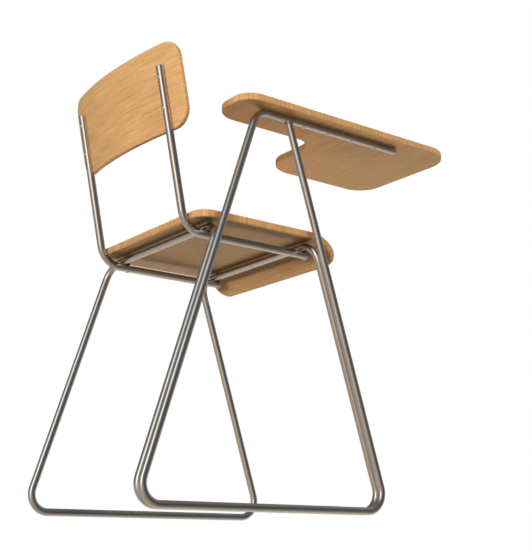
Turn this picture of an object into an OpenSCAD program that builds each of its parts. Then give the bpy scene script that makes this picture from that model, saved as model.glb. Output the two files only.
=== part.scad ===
// Student desk chair with a tablet arm, on a sled base of bent steel rod.
// Millimetres, +Z up. The sitter faces -Y, and the tablet arm is on -X, the sitter's right.
// The origin is on the floor, under the middle of the whole chair's plan.

/* [Sled base] */
// Diameter of the sled and tablet-frame rod
rod_d = 12.4; // [11:0.1:12.6]
// Distance between the centres of the two runners
track = 343; // [320:1:380]
// Length of a runner between its virtual corners
base_len = 477; // [440:1:520]
// Height of the crossbars' centres
crossbar_z = 443.7; // [420:0.1:460]
// Distance between the centres of the two crossbars
crossbar_gap = 195; // [180:1:210]
// Centre-line radius of the bends at the floor
foot_bend_r = 30; // [24:1:36]
// Centre-line radius of the bends under the seat
seat_bend_r = 30; // [24:1:36]

/* [Back rails] */
// Diameter of the back-rail rod
back_rod_d = 13; // [11.5:0.5:14]
// Distance between the centres of the two back rails
back_rail_gap = 263.3; // [240:0.1:280]
// Drop from the crossbars' centres to the rails' centres
rail_drop = 9.8; // [9:0.1:12]
// Y of the virtual corner where a rail turns up
back_corner_y = 133.4; // [120:0.1:140]
// Reach of a rail in front of the front crossbar's centre
rail_overhang = 16; // [15:0.5:20]
// Backward lean of the back rails, in degrees
back_lean = 11.8; // [8:0.1:15]
// Length of the upright from its virtual corner
upright_len = 273; // [250:1:300]
// Centre-line radius of the back rails' bend
back_bend_r = 40; // [30:1:50]

/* [Tablet frame] */
// Distance between a sled side's centre and the tablet frame's centre
frame_offset = 12.7; // [12.5:0.1:14]
// Height of the tablet rail's centre
tablet_rail_z = 646.3; // [600:0.1:680]
// Y of the tablet rail's front tip
tablet_rail_tip_y = -276; // [-300:1:-260]
// Centre-line radius of the bend behind the tablet
tablet_bend_r = 30; // [24:1:36]

/* [Seat] */
// Width of the seat
seat_w = 341.5; // [320:0.5:350]
// Y of the seat's rear edge
seat_rear_y = 129.5; // [120:0.5:132]
// Thickness of the seat's plywood
seat_t = 12.5; // [11:0.5:14]
// Gap that the spacers keep between the crossbars and the seat
seat_gap = 2.5; // [1:0.1:4]
// Y where the seat starts to curve down
waterfall_y = -94.5; // [-100:0.5:-90]
// Outer radius of the waterfall front
waterfall_r = 61.5; // [40:0.5:70]
// Angle through which the front edge turns down
waterfall_turn = 50; // [30:1:60]
// Straight length at the end of the waterfall
lip_len = 23.5; // [10:0.5:30]
// Radius of the seat's front corners
seat_front_r = 31; // [20:1:40]
// Radius of the seat's rear corners
seat_rear_r = 28; // [15:1:35]

/* [Backrest] */
// Width of the backrest
back_w = 341; // [320:1:350]
// Height of the backrest, along its lean
back_h = 144; // [120:0.5:160]
// Distance from the rails' corner to the backrest's lower edge
back_low = 165; // [160:0.5:190]
// Thickness of the backrest's plywood
back_t = 10; // [9:0.5:12]
// Radius of the backrest's rear face in plan
back_curve_r = 640; // [500:5:900]
// Radius of the backrest's upper corners
back_top_r = 31; // [25:1:50]
// Radius of the backrest's lower corners
back_low_r = 33; // [20:1:45]
// Depth of the flat on each upright, where the backrest sits
back_flat = 3.5; // [2:0.1:4]

/* [Tablet] */
// Thickness of the tablet's plywood
tablet_t = 12; // [11:0.5:14]
// Depth of the groove that beds the rail in the tablet's underside
rail_groove = 1.8; // [0.5:0.1:3]
// X of the tablet's outer edge
tablet_outer_x = -214; // [-225:1:-200]
// Width of the armrest
armrest_w = 99; // [90:0.5:115]
// Y of the armrest's rear end
armrest_rear_y = 75.5; // [60:0.5:90]
// Width of the writing surface
writing_w = 253; // [220:0.5:280]
// Y of the writing surface's rear edge
writing_rear_y = -149; // [-160:1:-130]
// Y of the tablet's front edge
tablet_front_y = -400.5; // [-420:0.5:-380]
// Radius of the armrest's outer rear corner
armrest_outer_r = 34; // [25:1:40]
// Radius of the armrest's inner rear corner
armrest_inner_r = 43; // [25:1:48]
// Radius of the tablet's outer front corner
tablet_outer_r = 56; // [30:1:70]
// Radius of the tablet's inner front corner
tablet_inner_r = 45; // [30:1:60]
// Radius of the writing surface's inner rear corner
writing_rear_r = 54; // [30:1:70]
// Radius of the notch between armrest and writing surface
notch_r = 44; // [20:1:60]

/* [Fasteners] */
// Diameter of the screws
screw_d = 3.5; // [3:0.5:4.5]
// Diameter of the screws' button heads
head_d = 6.8; // [6:0.1:9]
// Height of the screws' button heads
head_h = 2.1; // [1.2:0.1:2.5]
// Outside diameter of the threaded inserts
insert_d = 6.5; // [6:0.5:9]
// Outside diameter of the spacers under the seat
spacer_d = 8.5; // [8:0.5:10]

/* [Hidden] */
$fn = 96;

steel = [0.62, 0.60, 0.57];
bright = [0.78, 0.78, 0.78];
wood = [0.82, 0.63, 0.41];
black = [0.10, 0.10, 0.11];

clearance = 0.1;      // gap between pieces that are clamped together
weld_gap = 2;         // width of the butt welds
end_round = 1.6;      // rounding of the cut rod ends
end_stub = 4;         // length of a rounded rod end
seam = 0.2;           // half width of the ring where two lengths of rod meet
seam_proud = 0.02;    // how far that ring stands proud of the rod
spot_depth = 0.9;     // depth of the flat under each screw head
flat_margin = 3;      // how far an upright's flat runs below the backrest
blind_floor = 2.5;    // wood left over each insert
insert_cap = 1;       // thickness of an insert's closed end
screw_short = 0.5;    // gap between a screw's end and that closed end
hole_play = 0.5;      // play of a screw in its drilled hole
insert_recess = 0.5;  // how far the backrest's inserts sit below its rear face
reach = 1;            // how far a cutter runs past what it cuts
curve_fn = 360;       // smoothness of the backrest's long curve

rod_r = rod_d / 2;
back_rod_r = back_rod_d / 2;
crossing = 3 * rod_d;  // length of a cutter that crosses a rod
side_x = track / 2;
frame_x = -side_x - frame_offset;
rail_x = back_rail_gap / 2;
crossbar_y = crossbar_gap / 2;
leg_slope = (base_len / 2 - crossbar_y) / (crossbar_z - rod_r);
leg_tilt = atan(leg_slope);
rail_z = crossbar_z - rail_drop;
rail_tip_y = -crossbar_y - rail_overhang;
back_tip = [0, back_corner_y + upright_len * sin(back_lean), rail_z + upright_len * cos(back_lean)];

seat_under_z = crossbar_z + rod_r + seat_gap;
seat_top_z = seat_under_z + seat_t;
rail_bed_z = tablet_rail_z + rod_r + clearance;
tablet_under_z = rail_bed_z - rail_groove;

// Y of a leg's centre-line at height z, measured from the middle of the base
function leg_y(z) = base_len / 2 - leg_slope * (z - rod_r);

// The lowest bends set how far the runners reach, and the tablet sets the front.
corner_angle = 90 - leg_tilt;
runner_reach = base_len / 2 - foot_bend_r / tan(corner_angle / 2) + foot_bend_r + rod_r;
centre_x = (tablet_outer_x + side_x + rod_r) / 2;
centre_y = (tablet_front_y + runner_reach) / 2;

// Screws under the seat stand just in front of each crossbar, one on each back rail.
spacer_gap = 0.8;
seat_screw_setback = rod_r + spacer_gap + spacer_d / 2;
seat_screw_y = [crossbar_y - seat_screw_setback, -crossbar_y - seat_screw_setback];
seat_insert_h = seat_t - blind_floor;

// Screws through the uprights, as distances along them from the virtual corner
back_screw_rise = [36, 87.5];
back_screw_s = [for (rise = back_screw_rise) back_low + rise];
back_insert_h = 7;
// Depth of the uprights' flats and of the backrest's rear face, as distances in front of the
// uprights' centres. The panel is curved, so the flats are tilted to meet it squarely.
flat_depth = back_rod_r - back_flat;
face_depth = flat_depth + clearance;
back_insert_depth = face_depth + insert_recess;
face_tilt = asin(rail_x / back_curve_r);
sagitta = back_curve_r * (1 - cos(face_tilt));
// Depth of the backrest's rear face behind the uprights' centres, at the middle
back_middle = sagitta - face_depth / cos(face_tilt);

// Screws through the tablet rail
tablet_screw_y0 = -64.5;
tablet_screw_pitch = 54.3;
tablet_screw_count = 4;
tablet_insert_h = tablet_t - rail_groove - blind_floor;
tablet_screw_y = [for (i = [0:tablet_screw_count - 1]) tablet_screw_y0 - i * tablet_screw_pitch];

function unit(v) = v / norm(v);

// Moves children so that their X, Y and Z axes lie along ax, ay and ax x ay, at p
module place(p, ax, ay) {
    az = cross(ax, ay);
    multmatrix([[ax.x, ay.x, az.x, p.x], [ax.y, ay.y, az.y, p.y], [ax.z, ay.z, az.z, p.z]])
        children();
}

// Puts children's Z axis along dir, at p
module along(p, dir) {
    d = unit(dir);
    side = abs(d.x) > 0.9 ? [0, 1, 0] : [1, 0, 0];
    ax = unit(side - (side * d) * d);
    place(p, ax, cross(d, ax)) children();
}

// Straight rod from a to b
module bar(a, b, r) {
    along(a, b - a) cylinder(h = norm(b - a), r = r);
}

// Rounded end of a rod, from p to a tip that lies end_stub further along dir
module rod_tip(p, dir, r) {
    along(p, dir) rotate_extrude() {
        square([r, end_stub - end_round]);
        square([r - end_round, end_stub]);
        translate([r - end_round, end_stub - end_round]) intersection() {
            circle(r = end_round);
            square(end_round);
        }
    }
}

// Hairline ring at p that joins two lengths of rod which meet there
module seam_ring(p, dir, r) {
    along(p - seam * dir, dir) cylinder(h = 2 * seam, r = r + seam_proud);
}

// Distance from the virtual corner i to where its bend starts
function setback(points, i, bend_r) =
    bend_r * tan(acos(unit(points[i] - points[i - 1]) * unit(points[i + 1] - points[i])) / 2);

// Bend of a rod at its virtual corner i
module bend(points, i, bend_r, r) {
    dir_in = unit(points[i] - points[i - 1]);
    dir_out = unit(points[i + 1] - points[i]);
    set = setback(points, i, bend_r);
    inward = unit(dir_out - (dir_in * dir_out) * dir_in);
    start = points[i] - set * dir_in;
    place(start + bend_r * inward, -inward, dir_in)
        rotate_extrude(angle = acos(dir_in * dir_out)) translate([bend_r, 0]) circle(r = r);
    seam_ring(start, dir_in, r);
    seam_ring(points[i] + set * dir_out, dir_out, r);
}

// Bent rod through virtual corners, with one bend radius for each inner corner.
// first_tip and last_tip say which of its ends are rounded.
module bent_rod(points, bend_radii, r, first_tip = false, last_tip = false) {
    last = len(points) - 1;
    for (i = [0:last - 1]) {
        dir = unit(points[i + 1] - points[i]);
        cut_in = i > 0 ? setback(points, i, bend_radii[i - 1]) + seam / 2
                       : first_tip ? end_stub + seam / 2 : 0;
        cut_out = i < last - 1 ? setback(points, i + 1, bend_radii[i]) + seam / 2
                               : last_tip ? end_stub + seam / 2 : 0;
        bar(points[i] + cut_in * dir, points[i + 1] - cut_out * dir, r);
        if (i == 0 && first_tip) {
            rod_tip(points[0] + end_stub * dir, -dir, r);
            seam_ring(points[0] + end_stub * dir, dir, r);
        }
        if (i == last - 1 && last_tip) {
            rod_tip(points[last] - end_stub * dir, dir, r);
            seam_ring(points[last] - end_stub * dir, dir, r);
        }
    }
    for (i = [1:last - 1]) bend(points, i, bend_radii[i - 1], r);
}

// Moves the chair from its own middle to the origin under the whole plan
module chair_frame() {
    translate([-centre_x, -centre_y, 0]) children();
}

// Turns children from the upright's own frame (X across, Y up it, Z to its rear) into place
module upright_frame() {
    translate([0, back_corner_y, rail_z]) rotate([-back_lean, 0, 0])
        place([0, 0, 0], [-1, 0, 0], [0, 0, 1]) children();
}

// A screw with a button head and a hexagon socket: the head's face is at z = 0, the shank goes up
module button_screw(len) {
    crown_d = 0.62 * head_d;
    socket_d = 0.62 * screw_d;
    socket_depth = 0.6 * head_h;
    cylinder(h = len, d = screw_d);
    translate([0, 0, -head_h]) difference() {
        union() {
            translate([0, 0, head_h / 2]) cylinder(h = head_h / 2, d = head_d);
            cylinder(h = head_h / 2, d1 = crown_d, d2 = head_d);
        }
        translate([0, 0, -reach]) cylinder(h = reach + socket_depth, d = socket_d, $fn = 6);
    }
}

// A threaded insert standing on z = 0, closed at its top
module insert(h) {
    difference() {
        cylinder(h = h, d = insert_d);
        translate([0, 0, -reach]) cylinder(h = reach + h - insert_cap, d = screw_d + clearance);
    }
}

// Drilled hole and the flat for a screw head, in a rod whose centre is at z = 0
module rod_drilling(r) {
    translate([0, 0, -r - reach]) {
        cylinder(h = 2 * (r + reach), d = screw_d + hole_play);
        cylinder(h = reach + spot_depth, d = head_d + 2 * hole_play);
    }
}

module at_seat_screws(z) {
    for (side = [-1, 1], y = seat_screw_y) translate([side * rail_x, y, z]) children();
}

// Children's Z points from the upright's rear side to its front
module at_back_screws(depth) {
    upright_frame() for (side = [-1, 1], s = back_screw_s)
        translate([side * rail_x, s, depth]) rotate([180, 0, 0]) children();
}

module at_tablet_screws(z) {
    for (y = tablet_screw_y) translate([frame_x, y, z]) children();
}

// One half of the sled loop, for side = 1 (left) or -1 (right)
module sled_half(side) {
    mid_x = side * weld_gap / 2;
    x = side * side_x;
    points = [[mid_x, crossbar_y, crossbar_z], [x, crossbar_y, crossbar_z],
              [x, base_len / 2, rod_r], [x, -base_len / 2, rod_r],
              [x, -crossbar_y, crossbar_z], [mid_x, -crossbar_y, crossbar_z]];
    color(steel) difference() {
        bent_rod(points, [seat_bend_r, foot_bend_r, foot_bend_r, seat_bend_r], rod_r);
        // the back rails press shallow saddles into the crossbars
        for (y = [-crossbar_y, crossbar_y])
            translate([side * rail_x, y, rail_z]) rotate([90, 0, 0])
                cylinder(h = crossing, r = back_rod_r + clearance / 2, center = true);
    }
}

// Ground butt welds that close the loop, in the middle of each crossbar
module crossbar_butt_welds() {
    color(steel) for (y = [-crossbar_y, crossbar_y])
        translate([0, y, crossbar_z]) rotate([0, 90, 0])
            cylinder(h = weld_gap, r = rod_r, center = true);
}

// One L-shaped back rail, for side = 1 (left) or -1 (right)
module back_rail(side) {
    x = side * rail_x;
    points = [[x, rail_tip_y, rail_z], [x, back_corner_y, rail_z], back_tip + [x, 0, 0]];
    color(steel) difference() {
        bent_rod(points, [back_bend_r], back_rod_r, first_tip = true, last_tip = true);
        at_seat_screws(rail_z) rod_drilling(back_rod_r);
        at_back_screws(0) rod_drilling(back_rod_r);
        // flat that the backrest sits on, from just below the panel to the rod's tip
        upright_frame() translate([-x, back_low - flat_margin, 0])
            rotate([0, -side * face_tilt, 0])
                translate([-crossing / 2, 0, -flat_depth - crossing])
                    cube([crossing, upright_len, crossing]);
    }
}

// The rod that carries the tablet, bent round until its front leg meets its own rail
module tablet_frame() {
    leg_end_z = tablet_rail_z - 1;  // inside the rail
    points = [[frame_x, tablet_rail_tip_y, tablet_rail_z],
              [frame_x, leg_y(tablet_rail_z), tablet_rail_z],
              [frame_x, base_len / 2, rod_r], [frame_x, -base_len / 2, rod_r],
              [frame_x, -leg_y(leg_end_z), leg_end_z]];
    color(steel) difference() {
        bent_rod(points, [tablet_bend_r, foot_bend_r, foot_bend_r], rod_r, first_tip = true);
        at_tablet_screws(tablet_rail_z) rod_drilling(rod_r);
    }
}

// Fillet weld round the top of the tablet frame's front leg, under the rail
module tablet_leg_weld() {
    bead_r = 1.4;
    joint = [frame_x, -leg_y(tablet_rail_z - rod_r), tablet_rail_z - rod_r];
    front_top = [frame_x, -leg_y(tablet_rail_z), tablet_rail_z];
    front_foot = [frame_x, -base_len / 2, rod_r];
    color(steel) difference() {
        along(joint, front_top - front_foot)
            rotate_extrude() translate([rod_r, 0]) circle(r = bead_r);
        bar(front_foot, front_top, rod_r);
        translate([frame_x, joint.y, tablet_rail_z]) rotate([90, 0, 0])
            cylinder(h = crossing, r = rod_r, center = true);
    }
}

// Short welds in the groove between the sled's right side and the tablet frame
module tablet_frame_welds() {
    bead_r = 0.42 * rod_r;
    bead_len = 18;
    groove = 0.65 * rod_r;
    mid_x = -side_x - frame_offset / 2;
    leg_weld_z = [130, 390];
    runner_weld_y = [-130, 130];
    color(steel) {
        for (y = runner_weld_y) difference() {
            translate([mid_x, y, rod_r + groove]) rotate([90, 0, 0])
                cylinder(h = bead_len, r = bead_r, center = true);
            for (x = [-side_x, frame_x]) translate([x, y, rod_r]) rotate([90, 0, 0])
                cylinder(h = 2 * bead_len, r = rod_r, center = true);
        }
        for (z = leg_weld_z, end = [-1, 1])
            translate([0, end * leg_y(z), z]) rotate([end * leg_tilt, 0, 0]) difference() {
                translate([mid_x, -groove, 0])
                    cylinder(h = bead_len, r = bead_r, center = true);
                for (x = [-side_x, frame_x]) translate([x, 0, 0])
                    cylinder(h = 2 * bead_len, r = rod_r, center = true);
            }
    }
}

// Rectangle with four corner radii: front left, front right, rear right, rear left
module rounded_rect(x0, x1, y0, y1, radii) {
    corners = [[x0, y0, 1, 1], [x1, y0, -1, 1], [x1, y1, -1, -1], [x0, y1, 1, -1]];
    difference() {
        translate([x0, y0]) square([x1 - x0, y1 - y0]);
        for (i = [0:3]) if (radii[i] > 0) {
            c = corners[i];
            translate([c[0], c[1]]) face_corner(c[2], c[3]) corner_waste(radii[i]);
        }
    }
}

// What is cut off a square corner at the origin to leave a round of radius r
module corner_waste(r) {
    difference() {
        translate([-reach, -reach]) square(r + reach);
        translate([r, r]) circle(r = r);
    }
}

// Turns a corner that faces +X and +Y to face the sides whose signs are sx and sy
module face_corner(sx, sy) {
    mirror([sx < 0 ? 1 : 0, 0]) mirror([0, sy < 0 ? 1 : 0]) children();
}

// One face of the bent seat panel in side view, at a depth below its top face: X runs to the
// front from where the panel starts to curve down, and Y is up
function seat_face(rear, depth) =
    let (r = waterfall_r - depth, steps = 26)
    [[-rear, -depth],
     for (i = [0:steps]) let (a = waterfall_turn * i / steps)
         [r * sin(a), r * cos(a) - waterfall_r],
     [r * sin(waterfall_turn) + lip_len * cos(waterfall_turn),
      r * cos(waterfall_turn) - waterfall_r - lip_len * sin(waterfall_turn)]];

function backwards(list) = [for (i = [len(list) - 1:-1:0]) list[i]];

module seat_profile(rear) {
    polygon(concat(seat_face(rear, 0), backwards(seat_face(rear, seat_t))));
}

// Plywood seat: flat, with a waterfall front and round corners
module seat() {
    rear = seat_rear_y - waterfall_y;
    lip_end = [0, waterfall_y - waterfall_r * sin(waterfall_turn) - lip_len * cos(waterfall_turn),
               seat_top_z - waterfall_r * (1 - cos(waterfall_turn)) - lip_len * sin(waterfall_turn)];
    color(wood) difference() {
        intersection() {
            translate([0, waterfall_y, seat_top_z])
                place([0, 0, 0], [0, -1, 0], [0, 0, 1])
                    linear_extrude(height = seat_w + 2 * reach, center = true)
                        seat_profile(rear);
            // rounds of the rear corners, cut square through the flat panel
            linear_extrude(height = 2 * seat_top_z)
                rounded_rect(-seat_w / 2, seat_w / 2, -seat_w, seat_rear_y,
                             [0, 0, seat_rear_r, seat_rear_r]);
            // rounds of the front corners, cut square through the lip
            translate(lip_end) rotate([waterfall_turn, 0, 0])
                linear_extrude(height = 2 * seat_w, center = true)
                    rounded_rect(-seat_w / 2, seat_w / 2, 0, 2 * seat_w,
                                 [seat_front_r, seat_front_r, 0, 0]);
        }
        at_seat_screws(seat_under_z - reach)
            cylinder(h = seat_insert_h + reach, d = insert_d);
    }
}

// Plywood backrest: part of a cylinder, hollow to the front, with round corners
module backrest() {
    blank_h = back_low + back_h + reach;
    curve_depth = back_curve_r - sqrt(back_curve_r * back_curve_r - back_w * back_w / 4);
    color(wood) difference() {
        upright_frame() intersection() {
            translate([0, 0, back_middle - back_curve_r]) rotate([-90, 0, 0])
                difference() {
                    cylinder(h = blank_h, r = back_curve_r, $fn = curve_fn);
                    translate([0, 0, -reach])
                        cylinder(h = blank_h + 2 * reach, r = back_curve_r - back_t,
                                 $fn = curve_fn);
                }
            linear_extrude(height = 2 * (curve_depth + back_t + back_middle), center = true)
                rounded_rect(-back_w / 2, back_w / 2, back_low, back_low + back_h,
                             [back_low_r, back_low_r, back_top_r, back_top_r]);
        }
        at_back_screws(0) cylinder(h = back_insert_depth + back_insert_h, d = insert_d);
    }
}

// Outline of the tablet: a narrow armrest that widens inward over the lap
module tablet_outline() {
    armrest_x = tablet_outer_x + armrest_w;
    writing_x = tablet_outer_x + writing_w;
    rounded_rect(tablet_outer_x, armrest_x, tablet_front_y / 2, armrest_rear_y,
                 [0, 0, armrest_inner_r, armrest_outer_r]);
    rounded_rect(tablet_outer_x, writing_x, tablet_front_y, writing_rear_y,
                 [tablet_outer_r, tablet_inner_r, writing_rear_r, 0]);
    translate([armrest_x, writing_rear_y]) difference() {
        translate([-reach, -reach]) square(notch_r + reach);
        translate([notch_r, notch_r]) circle(r = notch_r);
    }
}

// Plywood tablet arm, with a groove in its underside from the rail's tip to its bend
module tablet_top() {
    bend_run = rod_d;
    groove_end = leg_y(tablet_rail_z) - tablet_bend_r * tan((90 - leg_tilt) / 2) + bend_run;
    groove_tip = tablet_rail_tip_y - reach;
    color(wood) difference() {
        translate([0, 0, tablet_under_z]) linear_extrude(height = tablet_t) tablet_outline();
        translate([frame_x, groove_end, tablet_rail_z]) rotate([90, 0, 0])
            cylinder(h = groove_end - groove_tip, r = rod_r + clearance);
        at_tablet_screws(tablet_under_z - reach)
            cylinder(h = rail_groove + tablet_insert_h + reach, d = insert_d);
    }
}

// Spacers that fill the gap between the back rails and the seat beside each crossbar
module seat_spacers() {
    color(black) difference() {
        at_seat_screws(rail_z) cylinder(h = seat_under_z - clearance / 2 - rail_z, d = spacer_d);
        at_seat_screws(rail_z - reach) cylinder(h = crossing, d = screw_d + hole_play);
        for (side = [-1, 1]) translate([side * rail_x, 0, rail_z]) rotate([90, 0, 0])
            cylinder(h = base_len, r = back_rod_r + clearance / 2, center = true);
    }
}

module seat_screws() {
    head_z = rail_z - back_rod_r + spot_depth;
    end_z = seat_under_z + seat_insert_h - insert_cap - screw_short;
    color(bright) at_seat_screws(head_z) button_screw(end_z - head_z);
}

module seat_inserts() {
    color(bright) at_seat_screws(seat_under_z) insert(seat_insert_h);
}

// The panel's curve leaves a small gap in front of each upright, so these inserts start deeper.
module backrest_screws() {
    head_depth = back_rod_r - spot_depth;
    end_depth = back_insert_depth + back_insert_h - insert_cap - screw_short;
    color(bright) at_back_screws(head_depth) button_screw(head_depth + end_depth);
}

module backrest_inserts() {
    color(bright) at_back_screws(-back_insert_depth) insert(back_insert_h);
}

module tablet_screws() {
    head_z = tablet_rail_z - rod_r + spot_depth;
    end_z = rail_bed_z + tablet_insert_h - insert_cap - screw_short;
    color(bright) at_tablet_screws(head_z) button_screw(end_z - head_z);
}

module tablet_inserts() {
    color(bright) at_tablet_screws(rail_bed_z) insert(tablet_insert_h);
}

chair_frame() sled_half(1);  // sled_frame_left
chair_frame() sled_half(-1);  // sled_frame_right
chair_frame() crossbar_butt_welds();
chair_frame() back_rail(1);  // back_rail_left
chair_frame() back_rail(-1);  // back_rail_right
chair_frame() tablet_frame();
chair_frame() tablet_frame_welds();
chair_frame() tablet_leg_weld();
chair_frame() seat();
chair_frame() backrest();
chair_frame() tablet_top();
chair_frame() seat_spacers();
chair_frame() seat_screws();
chair_frame() seat_inserts();
chair_frame() backrest_screws();
chair_frame() backrest_inserts();
chair_frame() tablet_screws();
chair_frame() tablet_inserts();
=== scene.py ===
import math

import bmesh
import bpy
from mathutils import Matrix, Vector


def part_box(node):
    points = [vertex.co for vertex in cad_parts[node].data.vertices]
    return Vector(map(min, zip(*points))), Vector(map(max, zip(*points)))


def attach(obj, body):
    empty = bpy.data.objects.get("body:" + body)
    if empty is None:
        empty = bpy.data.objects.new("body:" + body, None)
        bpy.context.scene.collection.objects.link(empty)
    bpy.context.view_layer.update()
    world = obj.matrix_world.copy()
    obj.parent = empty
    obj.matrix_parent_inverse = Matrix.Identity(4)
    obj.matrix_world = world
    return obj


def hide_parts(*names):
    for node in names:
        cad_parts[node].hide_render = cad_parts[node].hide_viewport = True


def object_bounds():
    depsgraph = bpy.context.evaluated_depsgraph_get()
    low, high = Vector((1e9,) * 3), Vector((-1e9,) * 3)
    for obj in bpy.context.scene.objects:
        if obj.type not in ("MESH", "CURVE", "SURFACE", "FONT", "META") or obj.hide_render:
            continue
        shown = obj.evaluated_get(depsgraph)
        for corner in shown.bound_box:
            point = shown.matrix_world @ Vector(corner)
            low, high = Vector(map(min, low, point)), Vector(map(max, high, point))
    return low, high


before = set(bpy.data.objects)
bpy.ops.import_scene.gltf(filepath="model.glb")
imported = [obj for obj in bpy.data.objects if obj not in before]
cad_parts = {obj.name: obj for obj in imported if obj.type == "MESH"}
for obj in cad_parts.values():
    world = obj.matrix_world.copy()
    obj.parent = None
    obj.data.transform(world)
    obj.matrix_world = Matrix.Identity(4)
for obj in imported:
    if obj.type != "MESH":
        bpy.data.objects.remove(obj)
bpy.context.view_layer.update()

# ---------------------------------------------------------------- panel sizes, in metres
ARC_STEP = math.radians(3)    # largest turn between two points of a rounded corner
ARRIS_STEPS = 6               # faces across each rounded edge
SHOULDER = 0.0004             # narrow ring that keeps a panel's faces flat up to their rounding
BEND_STEP = 0.002             # between two cuts across the seat's bend
CURVE_STEP = 0.006            # between two cuts across the backrest
FACE_NORMAL_Z = 0.8           # a sheet's polygons with a normal past this are its faces, not its edge

SEAT_T = 0.0125
SEAT_ARRIS = 0.0032
SEAT_FRONT_R = 0.031
SEAT_REAR_R = 0.028
WATERFALL_R = 0.0615          # radius of the seat's top face where it turns down in front
WATERFALL_TURN = math.radians(50)
LIP_LEN = 0.0235              # straight part below that turn

BACK_T = 0.010
BACK_ARRIS = 0.0030
BACK_H = 0.144
BACK_CURVE_R = 0.640          # of the backrest's rear face
BACK_TOP_R = 0.031
BACK_LOW_R = 0.033
BACK_LEAN = math.radians(11.8)

TABLET_T = 0.012
TABLET_ARRIS = 0.0022
ARMREST_W = 0.099
WRITING_SETBACK = 0.2245      # from the armrest's rear end to the writing surface's rear edge
ARMREST_OUTER_R = 0.034
ARMREST_INNER_R = 0.043
TABLET_OUTER_R = 0.056
TABLET_INNER_R = 0.045
WRITING_REAR_R = 0.054
NOTCH_R = 0.044

# ---------------------------------------------------------------- the view, in metres
CAMERA_PLACE = Vector((-1.52275, 1.1105, -0.0644))
CAMERA_FORWARD = Vector((0.7652, -0.5944, 0.2472))
CAMERA_LENS = 71.52           # millimetres, on a 36 mm sensor
CAMERA_SHIFT = (-0.0353, 0.0005)

# ---------------------------------------------------------------- colours, as linear RGB
OAK_DARK = (0.61, 0.340, 0.140)
OAK_LIGHT = (0.70, 0.405, 0.170)
OAK_RING = (0.44, 0.220, 0.083)
OAK_STREAK = (0.40, 0.195, 0.073)
OAK_FIBRE = (0.92, 0.60, 0.295)
OAK_PORE = (0.28, 0.135, 0.050)
EDGE_DARK = (0.60, 0.330, 0.135)
EDGE_LIGHT = (0.70, 0.395, 0.165)
EDGE_STREAK = (0.38, 0.185, 0.068)
EDGE_TICK = (0.92, 0.62, 0.33)
SPACER_DARK = (0.018, 0.018, 0.020)
SPACER_LIGHT = (0.035, 0.035, 0.038)
FLOOR_PAINT = (0.80, 0.77, 0.73)

# name, clean and stained colour, least roughness, and how much rougher it gets
ROD_FINISH = ("satin_steel", (0.64, 0.625, 0.605), (0.58, 0.565, 0.54), 0.13, 0.05)
WELD_FINISH = ("weld_steel", (0.50, 0.47, 0.43), (0.36, 0.33, 0.30), 0.34, 0.14)
ZINC_FINISH = ("zinc_plate", (0.78, 0.77, 0.75), (0.66, 0.65, 0.62), 0.22, 0.08)

# ---------------------------------------------------------------- the studio
BACKDROP = (1.0, 1.0, 1.0)
AMBIENT = (0.055, 0.052, 0.047)
REFLECTED_BELOW = (0.42, 0.350, 0.275)
REFLECTED_ABOVE = (0.16, 0.158, 0.155)
REFLECTED_SHADE = (0.054, 0.064, 0.080)
HORIZON_BLUR = 0.25           # sine of the elevation up to which ground and sky blend, both ways
# what shiny things mirror: azimuth and elevation in degrees, sharpness, strength, tint
GLOWS = ((-28, 27, 24.0, 1.45, (0.98, 0.985, 0.975)),
         (-26, 6, 22.0, 1.15, (1.08, 1.0, 0.86)),
         (-25, 12, 4.0, 0.30, (1.0, 0.97, 0.92)),
         (140, -35, 3.5, 0.35, (1.0, 0.93, 0.86)),
         (66, -33, 8.0, 0.15, (1.0, 0.95, 0.88)),
         (-175, 20, 6.0, 0.20, (1.0, 1.0, 0.96)))
SHADE = (-118, -5, 3.5, 0.90)  # the same for the dark side, without a tint
WARM = (1.0, 0.97, 0.90)
WARMER = (1.0, 0.94, 0.82)
# what lights the wood: name, azimuth and elevation in degrees, distance, size, radiance, colour
SOFTBOXES = (("rear_light", -20, 0, 2.4, (2.4, 0.5), 15.4, WARM),
             ("side_light", -100, 5, 2.4, (2.4, 0.8), 5.0, WARM),
             ("overhead_light", 0, 90, 2.2, (2.4, 2.4), 2.4, WARM),
             ("front_light", 180, 20, 2.4, (2.0, 1.6), 2.0, WARM),
             ("low_light", 125, -28, 1.6, (1.6, 0.8), 4.3, WARMER))
FLOOR_HALF_WIDTH = 6.0


# ---------------------------------------------------------------- panels
def fillet(corners):
    """Closed outline through (x, y, radius) corners, with each radius rounded off."""
    points = []
    count = len(corners)
    for i, (x, y, r) in enumerate(corners):
        here = Vector((x, y))
        before = (Vector(corners[i - 1][:2]) - here).normalized()
        after = (Vector(corners[(i + 1) % count][:2]) - here).normalized()
        half = before.angle(after) / 2
        centre = here + (before + after).normalized() * r / math.sin(half)
        start = here + before * r / math.tan(half) - centre
        end = here + after * r / math.tan(half) - centre
        turn = math.atan2(start.cross(end), start.dot(end))
        steps = math.ceil(abs(turn) / ARC_STEP)
        for k in range(steps + 1):
            points.append(centre + Matrix.Rotation(turn * k / steps, 2) @ start)
    return points


def inset(points, distance):
    """The same outline, which runs anticlockwise, moved inwards by a distance."""
    moved = []
    for i, here in enumerate(points):
        along = (points[(i + 1) % len(points)] - points[i - 1]).normalized()
        moved.append(here + Vector((-along.y, along.x)) * distance)
    return moved


def edge_rings(thickness, arris):
    """(inset, depth) of each ring round a panel's edge, from its face to its other face."""
    steps = [(arris + SHOULDER, 0.0)]
    for k in range(ARRIS_STEPS + 1):
        a = math.pi / 2 * k / ARRIS_STEPS
        steps.append((arris * (1 - math.sin(a)), arris * (1 - math.cos(a))))
    steps.append((0.0, arris + SHOULDER))
    return steps + [(distance, thickness - depth) for distance, depth in reversed(steps)]


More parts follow.
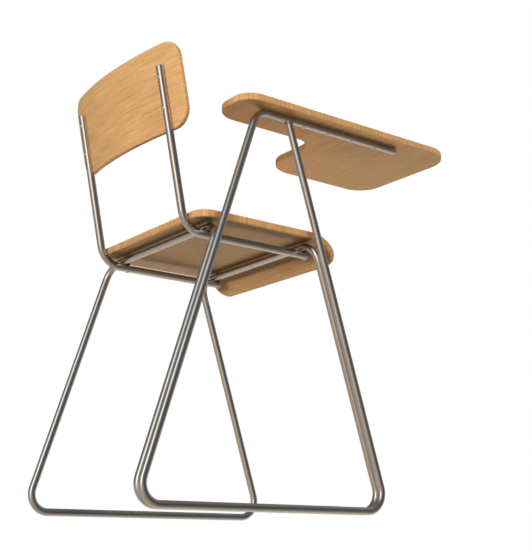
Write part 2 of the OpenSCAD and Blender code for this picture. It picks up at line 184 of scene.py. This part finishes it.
def spaced(start, end, step):
    """Evenly spaced places from start to end, both left out."""
    count = math.ceil(abs(end - start) / step)
    return [start + (end - start) * k / count for k in range(1, count)]


def flat_sheet(outline, thickness, arris, axis, cuts):
    """A flat panel with rounded edges in bmesh, cut across at places along one axis."""
    bm = bmesh.new()
    loops = []
    for distance, depth in edge_rings(thickness, arris):
        loops.append([bm.verts.new((p.x, p.y, depth)) for p in inset(outline, distance)])
    for upper, lower in zip(loops, loops[1:]):
        for i in range(len(outline)):
            j = (i + 1) % len(outline)
            bm.faces.new((upper[i], upper[j], lower[j], lower[i]))
    bm.faces.new(reversed(loops[0]))
    bm.faces.new(loops[-1])
    for place in cuts:
        normal = Vector((0, 0, 0))
        normal[axis] = 1
        geometry = bm.verts[:] + bm.edges[:] + bm.faces[:]
        bmesh.ops.bisect_plane(bm, geom=geometry, plane_co=normal * place, plane_no=normal)
    bm.normal_update()
    for face in bm.faces:
        face.smooth = True
        face.material_index = 0 if abs(face.normal.z) > FACE_NORMAL_Z else 1
    return bm


def make_panel(name, node, bm, shape):
    """A panel bent from a flat sheet by shape(x, y, depth), standing for a CAD node.

    The sheet's own coordinates stay on it as the attribute "sheet", for its grain.
    """
    mesh = bpy.data.meshes.new(name)
    bm.to_mesh(mesh)
    sheet = mesh.attributes.new("sheet", "FLOAT_VECTOR", "POINT")
    for i, vertex in enumerate(mesh.vertices):
        sheet.data[i].vector = vertex.co
        vertex.co = shape(*vertex.co)
    bm.clear()
    bm.from_mesh(mesh)
    if bm.calc_volume(signed=True) < 0:
        bmesh.ops.reverse_faces(bm, faces=bm.faces)
    bm.to_mesh(mesh)
    bm.free()
    panel = bpy.data.objects.new(name, mesh)
    bpy.context.scene.collection.objects.link(panel)
    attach(panel, "root")
    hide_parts(node)
    return panel


def make_seat():
    low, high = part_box("seat")
    middle = (low.x + high.x) / 2
    half = (high.x - low.x) / 2
    bend_y = low.y + WATERFALL_R * math.sin(WATERFALL_TURN) + LIP_LEN * math.cos(WATERFALL_TURN)
    rear = high.y - bend_y
    bend_end = -WATERFALL_R * WATERFALL_TURN
    outline = fillet([(-half, bend_end - LIP_LEN, SEAT_FRONT_R),
                      (half, bend_end - LIP_LEN, SEAT_FRONT_R),
                      (half, rear, SEAT_REAR_R),
                      (-half, rear, SEAT_REAR_R)])

    def shape(x, run, depth):
        if run >= 0:
            return (middle + x, bend_y + run, high.z - depth)
        turn = min(-run / WATERFALL_R, WATERFALL_TURN)
        lip = -run - turn * WATERFALL_R
        r = WATERFALL_R - depth
        return (middle + x,
                bend_y - r * math.sin(turn) - lip * math.cos(turn),
                high.z - WATERFALL_R + r * math.cos(turn) - lip * math.sin(turn))

    cuts = [0.0] + spaced(0.0, bend_end, BEND_STEP) + [bend_end]
    bm = flat_sheet(outline, SEAT_T, SEAT_ARRIS, 1, cuts)
    return make_panel("seat_panel", "seat", bm, shape)


def make_backrest():
    low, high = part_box("backrest")
    middle = (low.x + high.x) / 2
    half = math.asin((high.x - low.x) / 2 / BACK_CURVE_R) * BACK_CURVE_R
    up = Vector((0, math.sin(BACK_LEAN), math.cos(BACK_LEAN)))
    rearward = Vector((0, math.cos(BACK_LEAN), -math.sin(BACK_LEAN)))
    rearmost = max(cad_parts["backrest"].data.vertices, key=lambda v: v.co.y)
    top = Vector((middle, rearmost.co.y, rearmost.co.z))
    outline = fillet([(-half, -BACK_H, BACK_LOW_R),
                      (half, -BACK_H, BACK_LOW_R),
                      (half, 0, BACK_TOP_R),
                      (-half, 0, BACK_TOP_R)])

    def shape(arc, rise, depth):
        angle = arc / BACK_CURVE_R
        r = BACK_CURVE_R - depth
        point = top + up * rise + rearward * (r * math.cos(angle) - BACK_CURVE_R)
        point.x += r * math.sin(angle)
        return point

    bm = flat_sheet(outline, BACK_T, BACK_ARRIS, 0, spaced(-half, half, CURVE_STEP))
    return make_panel("backrest_panel", "backrest", bm, shape)


def make_tablet():
    low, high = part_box("tablet_top")
    armrest_x = low.x + ARMREST_W
    writing_y = high.y - WRITING_SETBACK
    outline = fillet([(low.x, low.y, TABLET_OUTER_R),
                      (high.x, low.y, TABLET_INNER_R),
                      (high.x, writing_y, WRITING_REAR_R),
                      (armrest_x, writing_y, NOTCH_R),
                      (armrest_x, high.y, ARMREST_INNER_R),
                      (low.x, high.y, ARMREST_OUTER_R)])

    def shape(x, y, depth):
        return (x, y, high.z - depth)

    bm = flat_sheet(outline, TABLET_T, TABLET_ARRIS, 0, [])
    return make_panel("tablet_panel", "tablet_top", bm, shape)


# ---------------------------------------------------------------- materials
def new_material(name):
    """A fresh node material, with its node tree and its Principled shader."""
    material = bpy.data.materials.new(name)
    material.use_nodes = True
    tree = material.node_tree
    tree.nodes.clear()
    output = tree.nodes.new("ShaderNodeOutputMaterial")
    shader = tree.nodes.new("ShaderNodeBsdfPrincipled")
    tree.links.new(shader.outputs["BSDF"], output.inputs["Surface"])
    return material, tree, shader


def object_place(tree):
    """The surface point's own coordinates, in metres."""
    return tree.nodes.new("ShaderNodeTexCoord").outputs["Object"]


def sheet_place(tree):
    """The point's coordinates on the flat sheet that a panel is bent from, in metres."""
    attribute = tree.nodes.new("ShaderNodeAttribute")
    attribute.attribute_name = "sheet"
    return attribute.outputs["Vector"]


def scaled(tree, vector, scale):
    """A vector stretched along its axes by scale."""
    mapping = tree.nodes.new("ShaderNodeMapping")
    mapping.inputs["Scale"].default_value = scale
    tree.links.new(vector, mapping.inputs["Vector"])
    return mapping.outputs["Vector"]


def noise(tree, vector, scale, detail=3.0, roughness=0.5, distortion=0.0):
    """Noise in 0 to 1 over a vector stretched by scale."""
    node = tree.nodes.new("ShaderNodeTexNoise")
    node.inputs["Scale"].default_value = 1.0
    node.inputs["Detail"].default_value = detail
    node.inputs["Roughness"].default_value = roughness
    node.inputs["Distortion"].default_value = distortion
    tree.links.new(scaled(tree, vector, scale), node.inputs["Vector"])
    return node.outputs["Fac"]


def spread(tree, value, low, high, to_low=0.0, to_high=1.0):
    """A value in low..high mapped to to_low..to_high, and clamped there."""
    node = tree.nodes.new("ShaderNodeMapRange")
    node.inputs["From Min"].default_value = low
    node.inputs["From Max"].default_value = high
    node.inputs["To Min"].default_value = to_low
    node.inputs["To Max"].default_value = to_high
    tree.links.new(value, node.inputs["Value"])
    return node.outputs["Result"]


def blended(tree, factor, first, second, mode="MIX"):
    """A colour between first and second. Each is a socket or a plain colour."""
    node = tree.nodes.new("ShaderNodeMix")
    node.data_type = "RGBA"
    node.blend_type = mode
    for socket, value in ((node.inputs[0], factor), (node.inputs[6], first), (node.inputs[7], second)):
        if isinstance(value, bpy.types.NodeSocket):
            tree.links.new(value, socket)
        elif isinstance(value, tuple):
            socket.default_value = (*value, 1)
        else:
            socket.default_value = value
    return node.outputs[2]


def bump(tree, shader, height, strength, distance):
    """Raises the surface by a height, in 0 to 1, times distance in metres."""
    node = tree.nodes.new("ShaderNodeBump")
    node.inputs["Strength"].default_value = strength
    node.inputs["Distance"].default_value = distance
    tree.links.new(height, node.inputs["Height"])
    tree.links.new(node.outputs["Normal"], shader.inputs["Normal"])


def growth_rings(tree, place):
    """Wavy bands that run along the sheet's X, as where a veneer cuts through the rings."""
    wander = noise(tree, place, (4.0, 20.0, 0.0), detail=2.0)
    shift = tree.nodes.new("ShaderNodeCombineXYZ")
    tree.links.new(spread(tree, wander, 0.3, 0.7, 0.0, 0.05), shift.inputs["Y"])
    moved = tree.nodes.new("ShaderNodeVectorMath")
    tree.links.new(place, moved.inputs[0])
    tree.links.new(shift.outputs["Vector"], moved.inputs[1])
    node = tree.nodes.new("ShaderNodeTexWave")
    node.bands_direction = "Y"
    node.wave_profile = "SAW"
    node.inputs["Scale"].default_value = 65.0
    tree.links.new(moved.outputs["Vector"], node.inputs["Vector"])
    return node.outputs["Fac"]


def varnish(shader):
    """A clear satin lacquer over the wood."""
    shader.inputs["IOR"].default_value = 1.48
    shader.inputs["Specular IOR Level"].default_value = 0.25
    shader.inputs["Coat Weight"].default_value = 0.16
    shader.inputs["Coat Roughness"].default_value = 0.18
    shader.inputs["Coat IOR"].default_value = 1.5


def wood_face():
    """Lacquered light oak veneer, its grain along the sheet's X."""
    material, tree, shader = new_material("oak_face")
    place = sheet_place(tree)
    clouds = noise(tree, place, (5.0, 22.0, 0.0), detail=3.0)
    streaks = noise(tree, place, (4.0, 520.0, 0.0), detail=4.0, roughness=0.65)
    fibres = noise(tree, place, (14.0, 800.0, 0.0), detail=2.0)
    pores = noise(tree, place, (60.0, 1000.0, 0.0), detail=1.0)
    rings = growth_rings(tree, place)
    colour = blended(tree, spread(tree, clouds, 0.3, 0.7), OAK_DARK, OAK_LIGHT)
    colour = blended(tree, spread(tree, rings, 0.0, 1.0, 0.0, 0.18), colour, OAK_RING)
    colour = blended(tree, spread(tree, streaks, 0.42, 0.66, 0.0, 0.52), colour, OAK_STREAK)
    colour = blended(tree, spread(tree, fibres, 0.42, 0.66, 0.0, 0.48), colour, OAK_FIBRE)
    colour = blended(tree, spread(tree, pores, 0.60, 0.72, 0.0, 0.28), colour, OAK_PORE)
    tree.links.new(colour, shader.inputs["Base Color"])
    tree.links.new(spread(tree, streaks, 0.3, 0.7, 0.42, 0.54), shader.inputs["Roughness"])
    varnish(shader)
    bump(tree, shader, streaks, 0.12, 0.00015)
    return material


def wood_edge():
    """The cut edge of the panels, with fine streaks straight across its thickness."""
    material, tree, shader = new_material("oak_edge")
    place = sheet_place(tree)
    clouds = noise(tree, place, (25.0, 25.0, 8.0), detail=2.0)
    streaks = noise(tree, place, (240.0, 240.0, 9.0), detail=4.0, roughness=0.65)
    ticks = noise(tree, place, (420.0, 420.0, 30.0), detail=2.0)
    colour = blended(tree, spread(tree, clouds, 0.3, 0.7), EDGE_DARK, EDGE_LIGHT)
    colour = blended(tree, spread(tree, streaks, 0.42, 0.66, 0.0, 0.70), colour, EDGE_STREAK)
    colour = blended(tree, spread(tree, ticks, 0.56, 0.72, 0.0, 0.55), colour, EDGE_TICK)
    tree.links.new(colour, shader.inputs["Base Color"])
    tree.links.new(spread(tree, streaks, 0.3, 0.7, 0.38, 0.50), shader.inputs["Roughness"])
    varnish(shader)
    bump(tree, shader, streaks, 0.10, 0.00012)
    return material


def metal(name, clean, stained, roughness, extra_roughness):
    """Bare metal with slight stains, fine scratches and uneven roughness."""
    material, tree, shader = new_material(name)
    place = object_place(tree)
    stains = noise(tree, place, (18.0, 18.0, 18.0), detail=4.0, roughness=0.6)
    grain = noise(tree, place, (900.0, 900.0, 900.0), detail=2.0)
    tint = blended(tree, spread(tree, stains, 0.35, 0.7), clean, stained)
    tree.links.new(tint, shader.inputs["Base Color"])
    rough = spread(tree, stains, 0.3, 0.7, roughness, roughness + extra_roughness)
    tree.links.new(rough, shader.inputs["Roughness"])
    shader.inputs["Metallic"].default_value = 1.0
    bump(tree, shader, grain, 0.05, 0.00005)
    return material


def black_plastic():
    """Moulded black plastic with a fine grain."""
    material, tree, shader = new_material("spacer_plastic")
    place = object_place(tree)
    grain = noise(tree, place, (1500.0, 1500.0, 1500.0), detail=2.0)
    tint = blended(tree, spread(tree, grain, 0.3, 0.7), SPACER_DARK, SPACER_LIGHT)
    tree.links.new(tint, shader.inputs["Base Color"])
    tree.links.new(spread(tree, grain, 0.3, 0.7, 0.42, 0.55), shader.inputs["Roughness"])
    bump(tree, shader, grain, 0.2, 0.00008)
    return material


def dress_frame():
    """Gives the CAD nodes that stay in view their finishes."""
    rod = metal(*ROD_FINISH)
    weld = metal(*WELD_FINISH)
    zinc = metal(*ZINC_FINISH)
    plastic = black_plastic()
    for name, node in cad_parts.items():
        if name.endswith(("welds", "weld")):
            finish = weld
        elif name.endswith(("screws", "inserts")):
            finish = zinc
        elif name.endswith("spacers"):
            finish = plastic
        else:
            finish = rod
        for slot in node.material_slots:
            slot.material = finish


# ---------------------------------------------------------------- light, floor and camera
def toward(azimuth, elevation):
    """Unit vector towards an azimuth, in degrees from +Y round by +X, and an elevation."""
    a = math.radians(azimuth)
    e = math.radians(elevation)
    return Vector((math.sin(a) * math.cos(e), math.cos(a) * math.cos(e), math.sin(e)))


def glow(tree, direction, azimuth, elevation, sharpness, strength):
    """A soft round glow in the sky: strength x exp(sharpness x (cos(angle from its middle) - 1))."""
    dot = tree.nodes.new("ShaderNodeVectorMath")
    dot.operation = "DOT_PRODUCT"
    dot.inputs[1].default_value = toward(azimuth, elevation)
    tree.links.new(direction, dot.inputs[0])
    fall = tree.nodes.new("ShaderNodeMath")
    fall.operation = "MULTIPLY_ADD"
    fall.inputs[1].default_value = sharpness
    fall.inputs[2].default_value = -sharpness
    tree.links.new(dot.outputs["Value"], fall.inputs[0])
    curve = tree.nodes.new("ShaderNodeMath")
    curve.operation = "EXPONENT"
    tree.links.new(fall.outputs["Value"], curve.inputs[0])
    level = tree.nodes.new("ShaderNodeMath")
    level.operation = "MULTIPLY"
    level.inputs[1].default_value = strength
    tree.links.new(curve.outputs["Value"], level.inputs[0])
    return level.outputs["Value"]


def background(tree, colour):
    """A plain background shader of one colour, or of a colour socket."""
    node = tree.nodes.new("ShaderNodeBackground")
    if isinstance(colour, tuple):
        node.inputs["Color"].default_value = (*colour, 1)
    else:
        tree.links.new(colour, node.inputs["Color"])
    return node.outputs["Background"]


def shader_switch(tree, factor, first, second):
    """The first shader where factor is 0, and the second where it is 1."""
    node = tree.nodes.new("ShaderNodeMixShader")
    tree.links.new(factor, node.inputs["Fac"])
    tree.links.new(first, node.inputs[1])
    tree.links.new(second, node.inputs[2])
    return node.outputs["Shader"]


def make_world():
    """A soft studio: white to the eye, faint ambient light, and broad glows in reflections."""
    world = bpy.data.worlds.new("studio")
    bpy.context.scene.world = world
    world.use_nodes = True
    world.cycles.sampling_method = "NONE"
    tree = world.node_tree
    tree.nodes.clear()
    direction = tree.nodes.new("ShaderNodeTexCoord").outputs["Generated"]
    split = tree.nodes.new("ShaderNodeSeparateXYZ")
    tree.links.new(direction, split.inputs["Vector"])
    above = spread(tree, split.outputs["Z"], -HORIZON_BLUR, HORIZON_BLUR)
    colour = blended(tree, above, REFLECTED_BELOW, REFLECTED_ABOVE)
    for azimuth, elevation, sharpness, strength, tint in GLOWS:
        level = glow(tree, direction, azimuth, elevation, sharpness, strength)
        lit = blended(tree, 1.0, tint, level, mode="MULTIPLY")
        colour = blended(tree, 1.0, colour, lit, mode="ADD")
    shade = glow(tree, direction, *SHADE)
    colour = blended(tree, shade, colour, REFLECTED_SHADE)
    path = tree.nodes.new("ShaderNodeLightPath").outputs
    studio = background(tree, colour)
    ambient = background(tree, AMBIENT)
    backdrop = background(tree, BACKDROP)
    unseen = shader_switch(tree, path["Is Diffuse Ray"], studio, ambient)
    shown = shader_switch(tree, path["Is Camera Ray"], unseen, backdrop)
    output = tree.nodes.new("ShaderNodeOutputWorld")
    tree.links.new(shown, output.inputs["Surface"])


def softbox(name, azimuth, elevation, distance, size, radiance, colour):
    """A flat light that faces the chair's middle. Shiny things mirror the world's glows instead."""
    low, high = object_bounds()
    light = bpy.data.lights.new(name, "AREA")
    light.shape = "RECTANGLE"
    light.size, light.size_y = size
    light.energy = radiance * math.pi * size[0] * size[1]
    light.color = colour
    lamp = bpy.data.objects.new(name, light)
    lamp.location = (low + high) / 2 + toward(azimuth, elevation) * distance
    lamp.rotation_euler = toward(azimuth, elevation).to_track_quat("Z", "Y").to_euler()
    lamp.visible_glossy = False
    lamp.visible_camera = False
    bpy.context.scene.collection.objects.link(lamp)


def make_lights():
    for settings in SOFTBOXES:
        softbox(*settings)


def make_floor():
    """A pale studio floor that only shows from above, since the view looks up from under it."""
    mesh = bpy.data.meshes.new("studio_floor")
    bm = bmesh.new()
    bmesh.ops.create_grid(bm, x_segments=8, y_segments=8, size=FLOOR_HALF_WIDTH)
    bm.to_mesh(mesh)
    bm.free()
    floor = bpy.data.objects.new("studio_floor", mesh)
    bpy.context.scene.collection.objects.link(floor)
    floor.visible_glossy = False
    floor.visible_diffuse = False
    floor.visible_shadow = False
    material, tree, shader = new_material("floor_paint")
    shader.inputs["Base Color"].default_value = (*FLOOR_PAINT, 1)
    shader.inputs["Roughness"].default_value = 0.9
    clear = tree.nodes.new("ShaderNodeBsdfTransparent").outputs["BSDF"]
    under = tree.nodes.new("ShaderNodeNewGeometry").outputs["Backfacing"]
    shown = shader_switch(tree, under, shader.outputs["BSDF"], clear)
    tree.links.new(shown, tree.nodes["Material Output"].inputs["Surface"])
    mesh.materials.append(material)


def make_camera():
    data = bpy.data.cameras.new("camera")
    data.lens = CAMERA_LENS
    data.sensor_width = 36
    data.shift_x, data.shift_y = CAMERA_SHIFT
    camera = bpy.data.objects.new("camera", data)
    camera.location = CAMERA_PLACE
    camera.rotation_euler = CAMERA_FORWARD.to_track_quat("-Z", "Y").to_euler()
    bpy.context.scene.collection.objects.link(camera)
    bpy.context.scene.camera = camera


# ---------------------------------------------------------------- the chair
panels = [make_seat(), make_backrest(), make_tablet()]
dress_frame()
face = wood_face()
edge = wood_edge()
for panel in panels:
    panel.data.materials.append(face)
    panel.data.materials.append(edge)

make_world()
make_lights()
make_floor()
make_camera()
bpy.context.scene.view_settings.view_transform = "Standard"
bpy.context.scene.cycles.caustics_reflective = False
